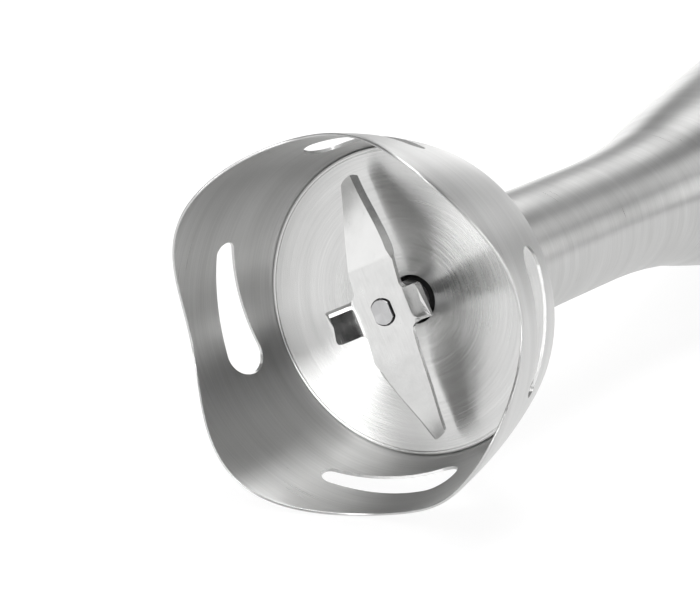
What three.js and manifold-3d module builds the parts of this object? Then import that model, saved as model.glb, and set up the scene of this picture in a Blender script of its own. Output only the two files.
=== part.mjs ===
// Immersion blender lying on its side. Millimetres, +Z up, shaft axis along +X.
// X is measured along the shaft from the seam where the bell meets its floor plate:
// the bell opens towards -X and the handle lies towards +X.
import * as THREE from 'three';
import { mergeVertices } from 'three/addons/utils/BufferGeometryUtils.js';
import Module from 'manifold-3d';

const wasm = await Module();
wasm.setup();

const DEGREE = Math.PI / 180;
const GAP = 0.3;
const FINE = 48;
const ROUND = 32;
const SMALL = 16;

// Height of the shaft axis above the table.
const AXIS_HEIGHT = 32.25;

// Bell.
const BELL_SEAM_RADIUS = 27.99;
const BELL_FLARE = 0.2686;
const BELL_CURL = 0.003424;
const RIM_MEAN_DEPTH = 23.67;
const RIM_WAVE = 3.375;
const LOBES = 4;
const LOBE_ANGLE = -57.6 * DEGREE;
const STEEL_WALL = 0.5;
const NECK_END = 24;
const NECK_RADIUS = 12.2;

// Teardrop slots through the bell's wall.
const SLOT_WALL_RADIUS = 29.2;
const SLOT_WIDE = { angle: -21.6 * DEGREE, depth: 8.9, radius: 3.98 };
const SLOT_NARROW = { angle: 15.4 * DEGREE, depth: 12.05, radius: 1.98 };
const SLOT_RIM_SAG = 0.55;
const SLOT_PLATE_SAG = 0.25;

// Floor plate and its hub.
const PLATE_RADIUS = 27.25;
const PLATE_THICKNESS = 0.9;
const PLATE_BEAD = 0.15;
const DISH_DEPTH = 2.3;
const HUB_HOLE = 4.3;
const SLEEVE_BORE = 6.4;
const SLEEVE_RADIUS = 8.2;
const SLEEVE_END = 20;

// Blade, in its own frame: U along the wings, V across them, measured from the shaft.
const BLADE_ANGLE = -115.8 * DEGREE;
const BLADE_FACE = -8.1;
const BLADE_THICKNESS = 1;
const HUB_HALF = 3.5;
const WING_HINGE = 8;
const WING_BEND = 12.5 * DEGREE;
const WING_LEADING = [[23.75, 2.8], [20.6, 3.4], [17.6, 4.15], [14.2, 5.0], [11.2, 5.6], [9.6, 5.75]];
const WING_TRAILING = [[10, -3.25], [15, -2.2], [19.5, -1.1], [23, -0.35]];
const WING_TIP = [24, 1.6];
const WING_BEVEL = 0.9;
const TAB_ROOT = 4.9;
const TAB_LENGTH = 5.2;
const TAB_SIDES = [-3.5, 2.6];
const TAB_BEND = 30 * DEGREE;
const TAB_BEVEL = 0.72;

// Drive shaft.
const SHAFT_RADIUS = 2.5;
const SHAFT_BORE = SHAFT_RADIUS + GAP;
const SHAFT_SHOULDER = -6.6;
const TIP_END = -8.6;
const TIP_RADIUS = 2.2;
const TIP_FLAT = 1.8;
const TIP_GAP = 0.25;
const SHAFT_END = 189.5;
const SPACER_RADIUS = 3.6;

// Stem: distance along the shaft and outer radius.
const STEM_PROFILE = [
  [NECK_END + GAP, 12.15], [50, 12.15], [79, 12.6], [97, 13.6], [113, 15.5],
  [126, 18.0], [143, 21.0], [160.7, 23.8], [175, 26.0], [190, 28.1], [199, 28.6],
];
const LINER = { from: 40, to: 84, radius: 11, bore: 9.5 };

// Ring in the wide end of the stem that receives the handle's spigot.
const FOOT_COLLAR_START = 177;
const FOOT_COLLAR_END = 198.8;
const COLLAR_BORE = 20.6;
const UPPER_SLEEVE_START = 160;
const COLLAR_FLOOR_END = 181;

// Drive coupling: six rounded dogs.
const DOGS = 6;
const COUPLING_RADIUS = 9;
const DOG_OUTER = 6.4;
const DOG_INNER = 4.4;
const DOG_CLEARANCE = 0.4;
const COUPLING_START = 183;
const COUPLING_END = 196;
const SOCKET_FLOOR = 190;
const MOTOR_COUPLING_START = 190.6;
const MOTOR_COUPLING_END = 203;

// Collar at the lower end of the handle, with its spigot and side release buttons.
const COLLAR_START = 199.3;
const COLLAR_END = 213.9;
const COLLAR_RADIUS = 28.9;
const SKIRT_BORE = 25;
const SPIGOT_START = 186;
const SPIGOT_RADIUS = 20.2;
const SPIGOT_BORE = 17;
const RELEASE_FACE = 29.9;
const RELEASE_BACK = 26.2;

// Motor.
const CAGE_RADIUS = 24.3;
const FRONT_BRACKET = [214.6, 217.6];
const REAR_BRACKET = [277.5, 280.5];
const BEARING_RADIUS = 8;
const FAN_RADIUS = 17;
const FAN_BLADES = 9;
const CORE = [236, 262];
const CORE_BORE = 13;
const ARMATURE_RADIUS = 12.6;
const ARMATURE_SLOTS = 10;
const COMMUTATOR_RADIUS = 8;
const MOTOR_SHAFT = [193.4, 288];
const MOTOR_SCREW_OFFSET = 19.5;

// Handle: distance along the shaft and radius of the round body, then of the lower bulge.
const HANDLE_PROFILE = [[214.3, 29.2], [235, 29.8], [270, 29.9], [305, 28.9], [335, 28.0], [360, 28.4]];
const BULGE_PROFILE = [[222, 24.6], [232, 28.7], [245, 30], [330, 30], [345, 28.7], [356, 23.8]];
const BULGE_DROP = 4.5;
const SHELL_WALL = 3.6;
const GRIP_WALL = 1.8;
const GRIP_ENDS = [238, 346];
const GRIP_HALF_WIDTH = 26;
const GRIP_TOP = -8;

// Buttons on the upper side.
const ON_BUTTON = { x: 306, halfLength: 12, halfWidth: 7, flangeTop: 23.2 };
const TURBO_BUTTON = { x: 332, halfLength: 7, halfWidth: 7, flangeTop: 22.3 };
const BUTTON_PROUD = 1;
const BUTTON_FLANGE = 1.4;
const BUTTON_FLANGE_EDGE = 1.8;
const BUTTON_TRAVEL = 2.5;
const SWITCH_TOP = 16;
const BOARD = { from: 292, to: 350, halfWidth: 11, bottom: 8, top: 9.6 };

// Cap, speed dial and cord gland at the top end.
const CAP_START = 360.3;
const CAP_FACE = 378.3;
const CAP_INSIDE = 375.3;
const DIAL_HEIGHT = 8;
const DIAL_RADIUS = 11.5;
const DIAL_START = 378.8;
const DIAL_END = 387;
const DIAL_FLUTES = 18;
const DIAL_STEM = 2.9;
const GLAND_HEIGHT = -16;

const LENGTH_CENTRE = (DIAL_END - RIM_MEAN_DEPTH - RIM_WAVE) / 2;

// ---------------------------------------------------------------- shape helpers

// A watertight solid from any closed geometry.
function solid(geometry) {
  geometry.deleteAttribute('normal');
  geometry.deleteAttribute('uv');
  const welded = mergeVertices(geometry, 1e-4);
  const corners = welded.index.array;
  const kept = [];
  for (let i = 0; i < corners.length; i += 3) {
    const [a, b, c] = [corners[i], corners[i + 1], corners[i + 2]];
    if (a !== b && b !== c && c !== a) kept.push(a, b, c);
  }
  return new wasm.Manifold(new wasm.Mesh({
    numProp: 3,
    vertProperties: new Float32Array(welded.attributes.position.array),
    triVerts: new Uint32Array(kept),
  }));
}

// A closed [x, radius] outline turned about the line through (y, z) along X.
function turnedGeometry(outline, segments, y = 0, z = 0) {
  const points = outline.map(([x, radius]) => new THREE.Vector2(radius, x));
  if (points[0].x > 0) points.push(points[0].clone());
  if (THREE.ShapeUtils.area(points) < 0) points.reverse();
  const geometry = new THREE.LatheGeometry(points, segments, LOBE_ANGLE - Math.PI / 2);
  geometry.rotateZ(-Math.PI / 2);
  geometry.translate(0, y, z);
  return geometry;
}

function turned(outline, segments = SMALL, y = 0, z = 0) {
  return solid(turnedGeometry(outline, segments, y, z));
}

function rod(from, to, radius, segments = SMALL, y = 0, z = 0) {
  return turned([[from, 0], [from, radius], [to, radius], [to, 0]], segments, y, z);
}

function ring(from, to, bore, radius, segments = SMALL, y = 0, z = 0) {
  return turned([[from, bore], [from, radius], [to, radius], [to, bore]], segments, y, z);
}

function block([x0, x1], [y0, y1], [z0, z1]) {
  const geometry = new THREE.BoxGeometry(x1 - x0, y1 - y0, z1 - z0);
  geometry.translate((x0 + x1) / 2, (y0 + y1) / 2, (z0 + z1) / 2);
  return solid(geometry);
}

// A block and its mirror image across the plane y = 0.
function blockPair(xs, [y0, y1], zs) {
  return block(xs, [y0, y1], zs).add(block(xs, [-y1, -y0], zs));
}

// A shape drawn in Y and Z, carried along X, with its origin at height z.
function alongX(shape, from, to, z = 0) {
  const geometry = new THREE.ExtrudeGeometry(shape, { depth: to - from, bevelEnabled: false });
  const yAxis = new THREE.Vector3(0, 1, 0);
  const zAxis = new THREE.Vector3(0, 0, 1);
  const xAxis = new THREE.Vector3(1, 0, 0);
  geometry.applyMatrix4(new THREE.Matrix4().makeBasis(yAxis, zAxis, xAxis));
  geometry.translate(from, 0, z);
  return solid(geometry);
}

// A shape drawn in X and Y, carried up Z.
function upZ(shape, from, to, curveSegments = 8) {
  const options = { depth: to - from, bevelEnabled: false, curveSegments };
  const geometry = new THREE.ExtrudeGeometry(shape, options);
  geometry.translate(0, 0, from);
  return solid(geometry);
}

function roundedRectangle(x, halfLength, halfWidth, corner) {
  const shape = new THREE.Shape();
  const right = x + halfLength - corner;
  const left = x - halfLength + corner;
  const top = halfWidth - corner;
  shape.absarc(right, -top, corner, -Math.PI / 2, 0, false);
  shape.absarc(right, top, corner, 0, Math.PI / 2, false);
  shape.absarc(left, top, corner, Math.PI / 2, Math.PI, false);
  shape.absarc(left, -top, corner, Math.PI, Math.PI * 1.5, false);
  return shape;
}

// A closed outline whose radius swings between two values a number of times a turn.
function flutedShape(inner, outer, flutes, stepsPerFlute) {
  const points = [];
  const steps = flutes * stepsPerFlute;
  for (let i = 0; i < steps; i++) {
    const angle = i / steps * 2 * Math.PI;
    const radius = (inner + outer) / 2 + (outer - inner) / 2 * Math.cos(flutes * angle);
    points.push(new THREE.Vector2(radius * Math.cos(angle), radius * Math.sin(angle)));
  }
  return new THREE.Shape(points);
}

// A round-wire compression spring along +Z from the origin, turned to point along `axis`.
function spring(radius, length, turns, axis, start) {
  const wire = 0.35;
  const steps = Math.round(turns * 8);
  const points = [];
  for (let i = 0; i <= steps; i++) {
    const angle = i / steps * turns * 2 * Math.PI;
    const height = wire + (length - 2 * wire) * i / steps;
    points.push(new THREE.Vector3(radius * Math.cos(angle), radius * Math.sin(angle), height));
  }
  const section = new THREE.Shape(new THREE.EllipseCurve(0, 0, wire, wire).getPoints(4).slice(0, 4));
  const geometry = new THREE.ExtrudeGeometry(section, {
    steps,
    extrudePath: new THREE.CatmullRomCurve3(points),
  });
  const turn = new THREE.Quaternion().setFromUnitVectors(new THREE.Vector3(0, 0, 1), axis);
  geometry.applyQuaternion(turn);
  geometry.translate(start.x, start.y, start.z);
  return solid(geometry);
}

// ---------------------------------------------------------------- finishes

function finish(color, roughness, metalness) {
  return { color, roughness, metalness };
}

const BRUSHED_STEEL = finish(0xc3c3c1, 0.32, 1);
const BLADE_STEEL = finish(0xd2d2d0, 0.25, 1);
const SHAFT_STEEL = finish(0xb4b5b6, 0.28, 1);
const BLACK_RUBBER = finish(0x141414, 0.85, 0);
const SOFT_GRIP = finish(0x1d1e20, 0.9, 0);
const DARK_PLASTIC = finish(0x2a2b2d, 0.45, 0);
const GREY_PLASTIC = finish(0x6f7173, 0.5, 0);
const PALE_PLASTIC = finish(0xd9d7cf, 0.55, 0);
const BRONZE = finish(0xa27a48, 0.5, 1);
const COPPER = finish(0xb4673a, 0.4, 1);
const BRASS = finish(0xc2a154, 0.35, 1);
const CARBON = finish(0x242424, 0.8, 0);
const LAMINATION = finish(0x7b7d80, 0.5, 1);
const ALUMINIUM = finish(0xb9bcbe, 0.45, 1);
const BOARD_GREEN = finish(0x1f5a3a, 0.6, 0);

// ---------------------------------------------------------------- bell and floor plate

function rimDepth(angle) {
  return RIM_MEAN_DEPTH + RIM_WAVE * Math.cos(LOBES * (angle - LOBE_ANGLE));
}

function bellRadius(depth) {
  return BELL_SEAM_RADIUS + BELL_FLARE * depth - BELL_CURL * depth * depth;
}

// Stretches the wall in front of the seam so that its edge follows the scalloped rim.
function scallop(geometry) {
  const position = geometry.attributes.position;
  for (let i = 0; i < position.count; i++) {
    const depth = -position.getX(i);
    if (depth <= 0) continue;
    const angle = Math.atan2(position.getZ(i), position.getY(i));
    const newDepth = depth * rimDepth(angle) / RIM_MEAN_DEPTH;
    const radius = Math.hypot(position.getY(i), position.getZ(i)) + bellRadius(newDepth) - bellRadius(depth);
    position.setXYZ(i, -newDepth, radius * Math.cos(angle), radius * Math.sin(angle));
  }
}

// The teardrop outline: across is measured round the wall, then laid flat for cutting.
function slotShape() {
  const middle = (SLOT_WIDE.angle + SLOT_NARROW.angle) / 2;
  const wide = { x: (SLOT_WIDE.angle - middle) * SLOT_WALL_RADIUS, y: -SLOT_WIDE.depth };
  const narrow = { x: (SLOT_NARROW.angle - middle) * SLOT_WALL_RADIUS, y: -SLOT_NARROW.depth };
  const lean = Math.atan2(narrow.y - wide.y, narrow.x - wide.x);
  const length = Math.hypot(narrow.x - wide.x, narrow.y - wide.y);
  const spread = Math.acos((SLOT_WIDE.radius - SLOT_NARROW.radius) / length);
  const plateSide = lean + spread;
  const rimSide = lean - spread;
  const outline = new THREE.Path();
  const bowedTo = (end, radius, angle, sag) => {
    const from = outline.currentPoint;
    const to = { x: end.x + radius * Math.cos(angle), y: end.y + radius * Math.sin(angle) };
    outline.quadraticCurveTo((from.x + to.x) / 2, (from.y + to.y) / 2 + 2 * sag, to.x, to.y);
  };
  outline.absarc(wide.x, wide.y, SLOT_WIDE.radius, plateSide, rimSide + 2 * Math.PI, false);
  bowedTo(narrow, SLOT_NARROW.radius, rimSide, SLOT_RIM_SAG);
  outline.absarc(narrow.x, narrow.y, SLOT_NARROW.radius, rimSide, plateSide, false);
  bowedTo(wide, SLOT_WIDE.radius, plateSide, SLOT_PLATE_SAG);
  const flat = outline.getPoints(5).map((point) => new THREE.Vector2(
    SLOT_WALL_RADIUS * Math.sin(point.x / SLOT_WALL_RADIUS), point.y));
  return new THREE.Shape(flat);
}

// A prism that cuts one slot, pointing out from the axis.
function slotCutter(angle) {
  const inside = 20;
  const geometry = new THREE.ExtrudeGeometry(slotShape(), { depth: 20, bevelEnabled: false });
  geometry.translate(0, 0, inside);
  const across = new THREE.Vector3(0, -Math.sin(angle), Math.cos(angle));
  const along = new THREE.Vector3(1, 0, 0);
  const out = new THREE.Vector3(0, Math.cos(angle), Math.sin(angle));
  geometry.applyMatrix4(new THREE.Matrix4().makeBasis(across, along, out));
  return solid(geometry);
}

function bell() {
  const front = [0, 8, 16];
  const edge = RIM_MEAN_DEPTH;
  const outside = front.map((depth) => [-depth, bellRadius(depth)]);
  const inside = front.map((depth) => [-depth, bellRadius(depth) - STEEL_WALL]);
  const outline = [
    [NECK_END, NECK_RADIUS], [19, 13.5], [13, 16.7], [7, 21.6], [1.4, 27.0],
    ...outside,
    [-edge + 0.25, bellRadius(edge)], [-edge, bellRadius(edge) - STEEL_WALL / 2],
    [-edge + 0.25, bellRadius(edge) - STEEL_WALL],
    ...inside.reverse(),
    [1.4, 26.1], [7, 20.7], [13, 15.8], [19, 12.7], [NECK_END, NECK_RADIUS - STEEL_WALL],
  ];
  const geometry = turnedGeometry(outline, FINE);
  scallop(geometry);
  let shell = solid(geometry);
  const middle = (SLOT_WIDE.angle + SLOT_NARROW.angle) / 2;
  for (let i = 0; i < LOBES; i++) {
    shell = shell.subtract(slotCutter(middle + i * 2 * Math.PI / LOBES));
  }
  return shell;
}

function bellFloor() {
  const shoulder = DISH_DEPTH + 1.9;
  return turned([
    [DISH_DEPTH, HUB_HOLE], [0.1, 26.5], [-PLATE_BEAD, 26.8], [-PLATE_BEAD, 27.0], [0, PLATE_RADIUS],
    [0.7, 26.4], [DISH_DEPTH - 0.4 + PLATE_THICKNESS, SLEEVE_RADIUS],
    [SLEEVE_END, SLEEVE_RADIUS], [SLEEVE_END, SLEEVE_BORE], [shoulder, SLEEVE_BORE], [shoulder, HUB_HOLE],
  ], FINE);
}

// ---------------------------------------------------------------- blade

// Turns a geometry drawn in the blade's U, V frame, with its depth along X, into place.
function placeBlade(geometry) {
  const u = new THREE.Vector3(0, Math.cos(BLADE_ANGLE), Math.sin(BLADE_ANGLE));
  const v = new THREE.Vector3(0, -Math.sin(BLADE_ANGLE), Math.cos(BLADE_ANGLE));
  geometry.applyMatrix4(new THREE.Matrix4().makeBasis(u, v, new THREE.Vector3(1, 0, 0)));
  geometry.translate(BLADE_FACE, 0, 0);
  return solid(geometry);
}

function bladeSheet(shape, depth = BLADE_THICKNESS) {
  return new THREE.ExtrudeGeometry(shape, { depth, bevelEnabled: false, curveSegments: 3 });
}

// Moves the front-face corners picked by `picks` by (du, dv), which grinds a bevel.
function grind(geometry, picks, du, dv) {
  const position = geometry.attributes.position;
  for (let i = 0; i < position.count; i++) {
    const [u, v, depth] = [position.getX(i), position.getY(i), position.getZ(i)];
    if (depth > BLADE_THICKNESS / 2 || !picks(u, v)) continue;
    position.setXY(i, u + du, v + dv);
  }
}

function wing(turn) {
  const points = (pairs) => pairs.map(([u, v]) => new THREE.Vector2(u, v));
  const outline = new THREE.Shape();
  outline.moveTo(WING_HINGE - 0.1, -3.65);
  outline.splineThru(points(WING_TRAILING));
  outline.lineTo(...WING_TIP);
  outline.lineTo(...WING_LEADING[0]);
  outline.splineThru(points(WING_LEADING.slice(1)));
  outline.lineTo(WING_HINGE - 0.1, 5.6);
  const geometry = bladeSheet(outline);
  grind(geometry, (u, v) => u > WING_HINGE && v > 2, 0, -WING_BEVEL);
  geometry.translate(-WING_HINGE, 0, 0);
  geometry.rotateY(-WING_BEND);
  geometry.translate(WING_HINGE, 0, 0);
  geometry.rotateZ(turn);
  return placeBlade(geometry);
}

function tab(turn) {
  const [left, right] = TAB_SIDES;
  const tip = TAB_ROOT + TAB_LENGTH;
  const outline = new THREE.Shape([
    new THREE.Vector2(left, TAB_ROOT - 0.5), new THREE.Vector2(right, TAB_ROOT - 0.5),
    new THREE.Vector2(right, tip - 0.6), new THREE.Vector2(right - 0.6, tip), new THREE.Vector2(left, tip),
  ]);
  const geometry = bladeSheet(outline);
  grind(geometry, (u, v) => u < left + 0.1 && v > TAB_ROOT, TAB_BEVEL, 0);
  geometry.translate(0, -TAB_ROOT, 0);
  geometry.rotateX(-TAB_BEND);
  geometry.translate(0, TAB_ROOT, 0);
  geometry.rotateZ(turn);
  return placeBlade(geometry);
}

// The round-with-two-flats outline shared by the shaft's tip and the blade's hole.
function flattedShape(radius, flat) {
  const corner = Math.asin(flat / radius);
  const shape = new THREE.Shape();
  shape.absarc(0, 0, radius, -corner, corner, false);
  shape.absarc(0, 0, radius, Math.PI - corner, Math.PI + corner, false);
  return shape;
}

function blade() {
  const side = [[HUB_HALF, TAB_ROOT], [-HUB_HALF, TAB_ROOT], [-4.6, 4.05], [-WING_HINGE, 3.65]];
  const farSide = [[-WING_HINGE, -5.6], [-6.2, -5.3]];
  const half = [...side, ...farSide].map(([u, v]) => new THREE.Vector2(u, v));
  const otherHalf = half.map((point) => point.clone().negate());
  const centre = placeBlade(bladeSheet(new THREE.Shape([...half, ...otherHalf])));
  const holeGeometry = bladeSheet(flattedShape(TIP_RADIUS + TIP_GAP, TIP_FLAT + TIP_GAP), 6);
  holeGeometry.translate(0, 0, -3);
  const wings = wing(0).add(wing(Math.PI));
  const tabs = tab(0).add(tab(Math.PI));
  return centre.add(wings).add(tabs).subtract(placeBlade(holeGeometry));
}

function driveShaft() {
  const tipGeometry = bladeSheet(flattedShape(TIP_RADIUS, TIP_FLAT), SHAFT_SHOULDER + 0.1 - TIP_END);
  tipGeometry.translate(0, 0, TIP_END - BLADE_FACE);
  return placeBlade(tipGeometry).add(rod(SHAFT_SHOULDER, SHAFT_END, SHAFT_RADIUS));
}

// ---------------------------------------------------------------- rest of the foot

function shaftSeal() {
  return turned([[2.9, SHAFT_BORE], [2.6, 3.3], [3.1, HUB_HOLE - GAP], [4.5, HUB_HOLE - GAP],
    [4.5, SLEEVE_BORE - GAP], [7.5, SLEEVE_BORE - GAP], [7.5, SHAFT_BORE]]);
}

function stemTube() {
  const inside = STEM_PROFILE.filter((_, i) => i % 2 === 0).map(([x, radius]) => [x, radius - STEEL_WALL]);
  return turned([...STEM_PROFILE, ...inside.reverse()], ROUND);
}

function footCollar() {
  const bore = SLEEVE_BORE;
  const body = turned([
    [UPPER_SLEEVE_START, bore], [UPPER_SLEEVE_START, 9], [FOOT_COLLAR_START, 9], [FOOT_COLLAR_START, 24.9],
    [186, 25.95], [FOOT_COLLAR_END, 27.4], [FOOT_COLLAR_END, COLLAR_BORE], [COLLAR_FLOOR_END, COLLAR_BORE],
    [COLLAR_FLOOR_END, bore],
  ], ROUND);
  return body.subtract(blockPair([190, FOOT_COLLAR_END + 1], [COLLAR_BORE - 1, 26.8], [-3.6, 3.6]));
}

function footCoupling() {
  const socket = flutedShape(DOG_INNER + DOG_CLEARANCE, DOG_OUTER + DOG_CLEARANCE, DOGS, 4);
  return ring(COUPLING_START, COUPLING_END, SHAFT_BORE, COUPLING_RADIUS, SMALL)
    .subtract(alongX(socket, SOCKET_FLOOR, COUPLING_END + 1));
}

// ---------------------------------------------------------------- lower end of the handle

function motorCollar() {
  const body = turned([
    [SPIGOT_START, SPIGOT_BORE], [SPIGOT_START, SPIGOT_RADIUS], [187.5, SPIGOT_RADIUS], [187.5, 18.9],
    [189.5, 18.9], [189.5, SPIGOT_RADIUS], [COLLAR_START, SPIGOT_RADIUS], [COLLAR_START, 28.5],
    [COLLAR_START + 0.5, COLLAR_RADIUS], [COLLAR_END, COLLAR_RADIUS], [COLLAR_END, SKIRT_BORE],
    [201.5, SKIRT_BORE], [201.5, SPIGOT_RADIUS], [COLLAR_END, SPIGOT_RADIUS], [COLLAR_END, SPIGOT_BORE],
  ], ROUND);
  const windows = blockPair([202.3, 212.3], [23, 31], [-7, 7]);
  const armSlots = blockPair([199, 203], [21.5, 26.9], [-3.6, 3.6]);
  return body.subtract(windows).subtract(armSlots);
}

// A side button; `side` is +1 for the left and -1 for the right.
function releaseButton(side) {
  const sorted = (near, far) => (side > 0 ? [near, far] : [-far, -near]);
  const pad = block([202.7, 211.9], sorted(RELEASE_BACK, 31), [-6.6, 6.6]);
  const cap = pad.intersect(rod(200, 214, RELEASE_FACE, FINE));
  const arm = block([191, 204.2], sorted(24.3, RELEASE_BACK + 0.2), [-3, 3]);
  return cap.add(arm);
}

function releaseSpring(side) {
  const axis = new THREE.Vector3(0, side, 0);
  const start = new THREE.Vector3(207.7, side * (SPIGOT_RADIUS + 0.4), 0);
  return spring(2.1, RELEASE_BACK - SPIGOT_RADIUS - 0.8, 3, axis, start);
}

function motorCoupling() {
  return alongX(flutedShape(DOG_INNER, DOG_OUTER, DOGS, 4), MOTOR_COUPLING_START, MOTOR_COUPLING_END)
    .subtract(rod(MOTOR_SHAFT[0] - 0.4, MOTOR_COUPLING_END + 1, SHAFT_BORE));
}

// ---------------------------------------------------------------- motor

function screwHoles(from, to, radius) {
  return rod(from, to, radius, 12, MOTOR_SCREW_OFFSET).add(rod(from, to, radius, 12, -MOTOR_SCREW_OFFSET));
}

// A motor end plate whose bearing cup opens towards the handle's top end.
function bracket([from, to], cupEnd) {
  const cupBore = BEARING_RADIUS + GAP;
  const outline = [
    [from, 4], [from, CAGE_RADIUS], [to, CAGE_RADIUS], [to, 10.3],
    [cupEnd, 10.3], [cupEnd, cupBore], [from + 1, cupBore], [from + 1, 4],
  ];
  let plate = turned(outline, ROUND).subtract(screwHoles(from - 1, to + 1, 1.9));
  for (const angle of [60, 120, 240, 300]) {
    const [y, z] = [17 * Math.cos(angle * DEGREE), 17 * Math.sin(angle * DEGREE)];
    plate = plate.subtract(rod(from - 1, to + 1, 4.5, 8, y, z));
  }
  return plate;
}

function ballBearing(from) {
  const to = from + 4.6;
  return turned([[from, SHAFT_BORE], [from, 4.2], [from + 0.4, 4.6], [from + 0.4, 6.2], [from, 6.6],
    [from, BEARING_RADIUS], [to, BEARING_RADIUS], [to, SHAFT_BORE]]);
}

function fan() {
  const hub = ring(222.8, 229, SHAFT_BORE, 5.5);
  let wheel = hub.add(ring(222.8, 224.2, SHAFT_BORE, FAN_RADIUS, 32));
  for (let i = 0; i < FAN_BLADES; i++) {
    const geometry = new THREE.BoxGeometry(5, 11.5, 1);
    geometry.rotateX(0.35);
    geometry.translate(226.5, 10.7, 0);
    geometry.rotateX(i / FAN_BLADES * 2 * Math.PI);
    wheel = wheel.add(solid(geometry));
  }
  return wheel;
}

function stator() {
  const [from, to] = CORE;
  const flats = block([from - 1, to + 1], [-30, 30], [-21, 21]);
  const outside = rod(from, to, CAGE_RADIUS, ROUND).intersect(flats);
  const window = block([from - 1, to + 1], [-16, 16], [-17.5, 17.5]);
  const poles = block([from, to], [-9.4, 9.4], [-18, 18]);
  return outside.subtract(window).add(poles)
    .subtract(rod(from - 1, to + 1, CORE_BORE, 32))
    .subtract(screwHoles(from - 1, to + 1, 1.9));
}

// A racetrack coil round one pole; `side` is +1 for the upper pole and -1 for the lower.
function fieldCoil(side) {
  const middle = (CORE[0] + CORE[1]) / 2;
  const outline = roundedRectangle(middle, 19, 15.7, 5);
  outline.holes.push(roundedRectangle(middle, 13.3, 9.7, 0.5));
  return side > 0 ? upZ(outline, 13.4, 17.2, 3) : upZ(outline, -17.2, -13.4, 3);
}

function armature() {
  const [from, to] = CORE;
  let core = rod(from, to, ARMATURE_RADIUS, 20);
  for (let i = 0; i < ARMATURE_SLOTS; i++) {
    const geometry = new THREE.BoxGeometry(to - from + 2, 3, 1.2);
    geometry.translate((from + to) / 2, ARMATURE_RADIUS, 0);
    geometry.rotateX(i / ARMATURE_SLOTS * 2 * Math.PI);
    core = core.subtract(solid(geometry));
  }
  const windings = turned([[232, 0], [231, 6], [233, 10.2], [from + 1, 10.8], [to - 1, 10.8], [265, 10.2],
    [266, 6], [265.5, 0]]);
  return core.add(windings).subtract(rod(225, 270, SHAFT_BORE));
}

function commutator() {
  let drum = turned([
    [266.8, SHAFT_BORE], [266.8, 9], [268, 9],
    [268, COMMUTATOR_RADIUS], [276, COMMUTATOR_RADIUS], [276, SHAFT_BORE],
  ], 20);
  for (let i = 0; i < ARMATURE_SLOTS; i++) {
    const geometry = new THREE.BoxGeometry(12, 1.2, 0.5);
    geometry.translate(273, 7.9, 0);
    geometry.rotateX((i + 0.5) / ARMATURE_SLOTS * 2 * Math.PI);
    drum = drum.subtract(solid(geometry));
  }
  return drum;
}

function brushHolder(side) {
  const ys = side > 0 ? [10.5, 17.4] : [-17.4, -10.5];
  const through = side > 0 ? [10, 18] : [-18, -10];
  return block([268, 277.2], ys, [-3.8, 3.8]).subtract(block([268.9, 276.1], through, [-2.9, 2.9]));
}

function brush(side) {
  const ys = side > 0 ? [8.4, 16.4] : [-16.4, -8.4];
  return block([269.2, 275.8], ys, [-2.6, 2.6]);
}

function motorScrew(side) {
  const y = side * MOTOR_SCREW_OFFSET;
  return turned([[214.8, 0], [214.8, 1.6], [REAR_BRACKET[1] + GAP, 1.6], [REAR_BRACKET[1] + GAP, 3],
    [REAR_BRACKET[1] + 2.5, 3], [REAR_BRACKET[1] + 2.5, 0]], 12, y);
}

// ---------------------------------------------------------------- handle shells

// The handle's outer form drawn in by `inset` all round, and run on at both ends by `overrun`.
function handleForm(inset, overrun = 0) {
  const [first, last] = [HANDLE_PROFILE[0], HANDLE_PROFILE[HANDLE_PROFILE.length - 1]];
  const bodyOutline = [
    [first[0] - overrun, 0], [first[0] - overrun, first[1] - inset],
    ...HANDLE_PROFILE.slice(1, -1).map(([x, radius]) => [x, radius - inset]),
    [last[0] + overrun, last[1] - inset], [last[0] + overrun, 0],
  ];
  const bulgeOutline = [
    [BULGE_PROFILE[0][0], 0], ...BULGE_PROFILE.map(([x, radius]) => [x, radius - inset]),
    [BULGE_PROFILE[BULGE_PROFILE.length - 1][0], 0],
  ];
  const aboveTable = block([200, 380], [-50, 50], [-AXIS_HEIGHT + inset, 50]);
  return turned(bodyOutline, ROUND).add(turned(bulgeOutline, ROUND, 0, -BULGE_DROP)).intersect(aboveTable);
}

// The region of the back grip, grown by `margin` on every side.
function gripRegion(margin) {
  const middle = (GRIP_ENDS[0] + GRIP_ENDS[1]) / 2;
  const halfLength = (GRIP_ENDS[1] - GRIP_ENDS[0]) / 2 + margin;
  return upZ(roundedRectangle(middle, halfLength, GRIP_HALF_WIDTH + margin, 18), -40, GRIP_TOP + margin, 6);
}

function shell() {
  return handleForm(0).subtract(handleForm(SHELL_WALL, 5));
}

function buttonShape(button, margin) {
  const corner = button.halfWidth + margin;
  return roundedRectangle(button.x, button.halfLength + margin, corner, corner - 0.01);
}

function housingFront() {
  return shell()
    .intersect(block([200, 380], [-50, 50], [GAP / 2, 50]))
    .subtract(upZ(buttonShape(ON_BUTTON, GAP), 15, 50, 6))
    .subtract(upZ(buttonShape(TURBO_BUTTON, GAP), 15, 50, 6));
}

function housingBack() {
  const recess = gripRegion(GAP).subtract(handleForm(GRIP_WALL + GAP));
  return shell().intersect(block([200, 380], [-50, 50], [-50, -GAP / 2])).subtract(recess);
}

function backGrip() {
  return handleForm(0).intersect(gripRegion(0)).subtract(handleForm(GRIP_WALL));
}

// ---------------------------------------------------------------- controls and electronics

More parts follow.
